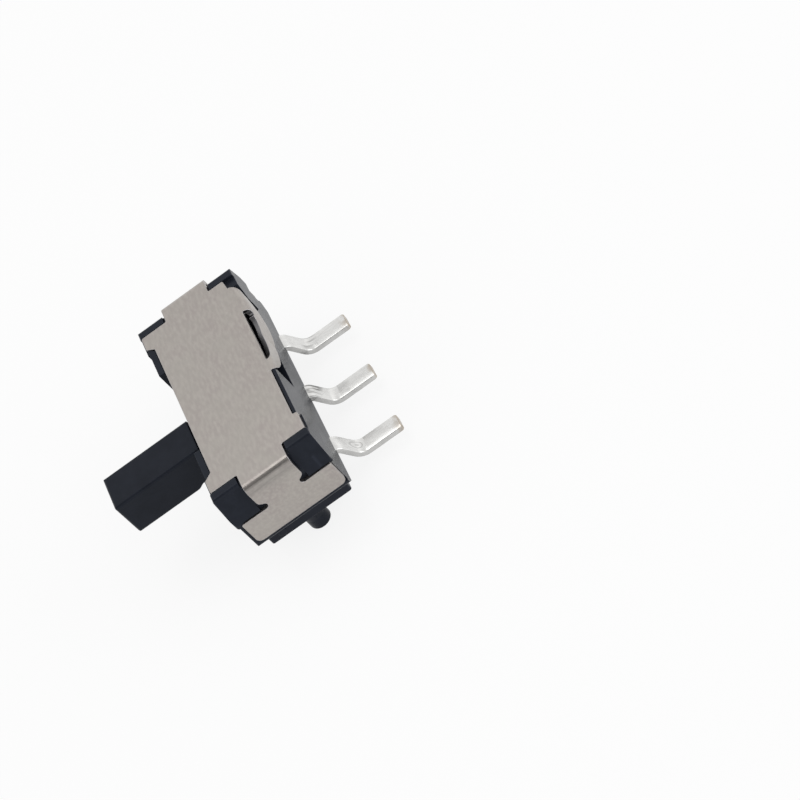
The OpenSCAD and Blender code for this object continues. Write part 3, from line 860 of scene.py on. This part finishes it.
@dataclass
class CarriedNode:
    """A CAD node that stays as it is and gets its own finish."""

    node: str
    finish: Finish

    def dress(self) -> bpy.types.Object:
        """Puts the finish on the node.

        Returns:
            The node's object.
        """
        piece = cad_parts[self.node]
        piece.data.materials.clear()
        piece.data.materials.append(self.finish.material())
        log.info("%s: %s", self.node, self.finish.name)
        return piece


@dataclass
class Studio:
    """A pale floor, soft lamps, a pale surround and the camera."""

    floor_size: float = 2.0
    floor_level: float = 0.85
    floor_glow: float = 0.85
    floor_mirrored_glow: float = 0.4
    camera_at: Point = (67.659 * MM, 16.957 * MM, 68.191 * MM)
    axis_at: Point = (1.372 * MM, 3.986 * MM, -0.283 * MM)
    camera_up: Point = (-0.64066, 0.57241, 0.51176)
    lens: float = 138.78
    clip: tuple[float, float] = (1 * MM, 10.0)
    ambient: float = 0.8
    card_way: Point = (0.5, -0.2, 0.86)
    card_narrowing: float = 2.0
    card_inner: float = math.radians(24.0)
    card_outer: float = math.radians(62.0)
    card_level: float = 0.22
    ceiling_from: float = 0.3
    ceiling_full: float = 0.65
    ceiling_level: float = 0.82

    def floor(self) -> None:
        """Makes the floor, which is clear when seen from below."""
        low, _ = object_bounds()
        mesh = bpy.data.meshes.new("floor")
        half, z = self.floor_size / 2, low.z
        corners = [(-half, -half, z), (half, -half, z), (half, half, z), (-half, half, z)]
        mesh.from_pydata(corners, [], [(0, 1, 2, 3)])
        floor = bpy.data.objects.new("floor", mesh)
        bpy.context.scene.collection.objects.link(floor)
        floor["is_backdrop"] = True
        material = bpy.data.materials.new("pale_floor")
        material.use_nodes = True
        sketch = Sketch(material.node_tree)
        rays = sketch.add("ShaderNodeLightPath").outputs
        mirrored = sketch.maths("MAXIMUM", rays["Is Glossy Ray"], rays["Is Transmission Ray"])
        direct = sketch.maths("MULTIPLY", rays["Is Camera Ray"], self.floor_glow)
        mirrored = sketch.maths("MULTIPLY", mirrored, self.floor_mirrored_glow)
        share = sketch.maths("MAXIMUM", direct, mirrored)
        matt = sketch.add("ShaderNodeBsdfDiffuse", {"Color": grey(self.floor_level)}).outputs[0]
        glow = sketch.add("ShaderNodeEmission", {"Color": grey(1.0), "Strength": 1.0}).outputs[0]
        top = sketch.add("ShaderNodeMixShader", {0: share, 1: matt, 2: glow}).outputs[0]
        under = sketch.add("ShaderNodeNewGeometry").outputs["Backfacing"]
        clear = sketch.add("ShaderNodeBsdfTransparent").outputs[0]
        whole = sketch.add("ShaderNodeMixShader", {0: under, 1: top, 2: clear}).outputs[0]
        sketch.add("ShaderNodeOutputMaterial", {"Surface": whole})
        mesh.materials.append(material)

    @staticmethod
    def seen(sketch: Sketch) -> bpy.types.NodeSocket:
        """Masks the rays that see the surround itself.

        Args:
            sketch: Adds nodes to the tree.

        Returns:
            The mask's socket.
        """
        path = sketch.add("ShaderNodeLightPath").outputs
        seen = sketch.maths("MAXIMUM", path["Is Camera Ray"], path["Is Glossy Ray"])
        return sketch.maths("MAXIMUM", seen, path["Is Transmission Ray"])

    def surround(self) -> None:
        """Makes the pale surround, a little greyer overhead, with a dark card high on the +X side."""
        world = bpy.data.worlds.new("surround")
        world.use_nodes = True
        sketch = Sketch(world.node_tree)
        way = sketch.add("ShaderNodeTexCoord").outputs["Generated"]
        narrow = sketch.scaled(way, (1.0, self.card_narrowing, 1.0))
        narrow = sketch.add("ShaderNodeVectorMath", {0: narrow}, operation="NORMALIZE").outputs[0]
        facing = sketch.alike(narrow, Vector(self.card_way).normalized())
        outer, inner = math.cos(self.card_outer), math.cos(self.card_inner)
        card = sketch.ramp(facing, outer, inner, 1.0, self.card_level)
        height = sketch.add("ShaderNodeSeparateXYZ", {0: way}).outputs["Z"]
        ceiling = sketch.ramp(
            height, self.ceiling_from, self.ceiling_full, 1.0, self.ceiling_level
        )
        level = sketch.maths("MINIMUM", card, ceiling)
        strength = sketch.add(
            "ShaderNodeMix", {0: self.seen(sketch), 2: self.ambient, 3: level}, data_type="FLOAT"
        ).outputs[0]
        light = sketch.add("ShaderNodeBackground", {"Color": grey(1.0), "Strength": strength}).outputs[0]
        sketch.add("ShaderNodeOutputWorld", {"Surface": light})
        bpy.context.scene.world = world

    def lamp(
        self, name: str, at: Point, size: float, level: float, colour: Point = (1.0, 1.0, 1.0)
    ) -> None:
        """Adds a square soft lamp that faces the switch.

        Args:
            name: The lamp's name.
            at: Its place.
            size: Its side.
            level: Light that it gives at the switch, where 1 makes white white.
            colour: Its colour.
        """
        data = bpy.data.lights.new(name, "AREA")
        data.shape = "SQUARE"
        data.size = size
        data.color = colour
        place = Vector(at)
        data.energy = level * math.pi ** 2 * place.length_squared
        lamp = bpy.data.objects.new(name, data)
        lamp.location = place
        lamp.rotation_mode = "QUATERNION"
        lamp.rotation_quaternion = (-place).to_track_quat("-Z", "Y")
        bpy.context.scene.collection.objects.link(lamp)

    def camera(self) -> None:
        """Makes the camera."""
        data = bpy.data.cameras.new("camera")
        data.lens = self.lens
        data.clip_start, data.clip_end = self.clip
        camera = bpy.data.objects.new("camera", data)
        place = Vector(self.camera_at)
        back = (place - Vector(self.axis_at)).normalized()
        right = Vector(self.camera_up).cross(back).normalized()
        turned = Matrix((right, back.cross(right), back)).transposed().to_4x4()
        camera.matrix_world = Matrix.Translation(place) @ turned
        bpy.context.scene.collection.objects.link(camera)
        bpy.context.scene.camera = camera

    def build(self) -> None:
        """Builds the whole studio."""
        self.camera()
        self.floor()
        self.surround()
        self.lamp("overhead", at=(-30 * MM, 0.0, 115 * MM), size=60 * MM, level=0.13)
        self.lamp(
            "lead_side", at=(30 * MM, 120 * MM, 60 * MM), size=90 * MM, level=0.2, colour=COOL_LIGHT
        )
        self.lamp("fill", at=(120 * MM, -60 * MM, 50 * MM), size=90 * MM, level=0.08)
        bpy.context.scene.view_settings.view_transform = "Standard"
        log.info("studio ready")


def main() -> None:
    """Builds and dresses every piece, then the studio."""
    logging.basicConfig(level=logging.INFO, format="%(name)s: %(message)s")
    Studio().build()
    for carried in (
        CarriedNode("housing", HOUSING_FINISH), CarriedNode("cover", COVER_FINISH),
        CarriedNode("slider", SLIDER_FINISH), CarriedNode("moving_contact", CONTACT_FINISH),
    ):
        carried.dress()
    Leads().build(StripTree())


if __name__ == "__main__":
    main()
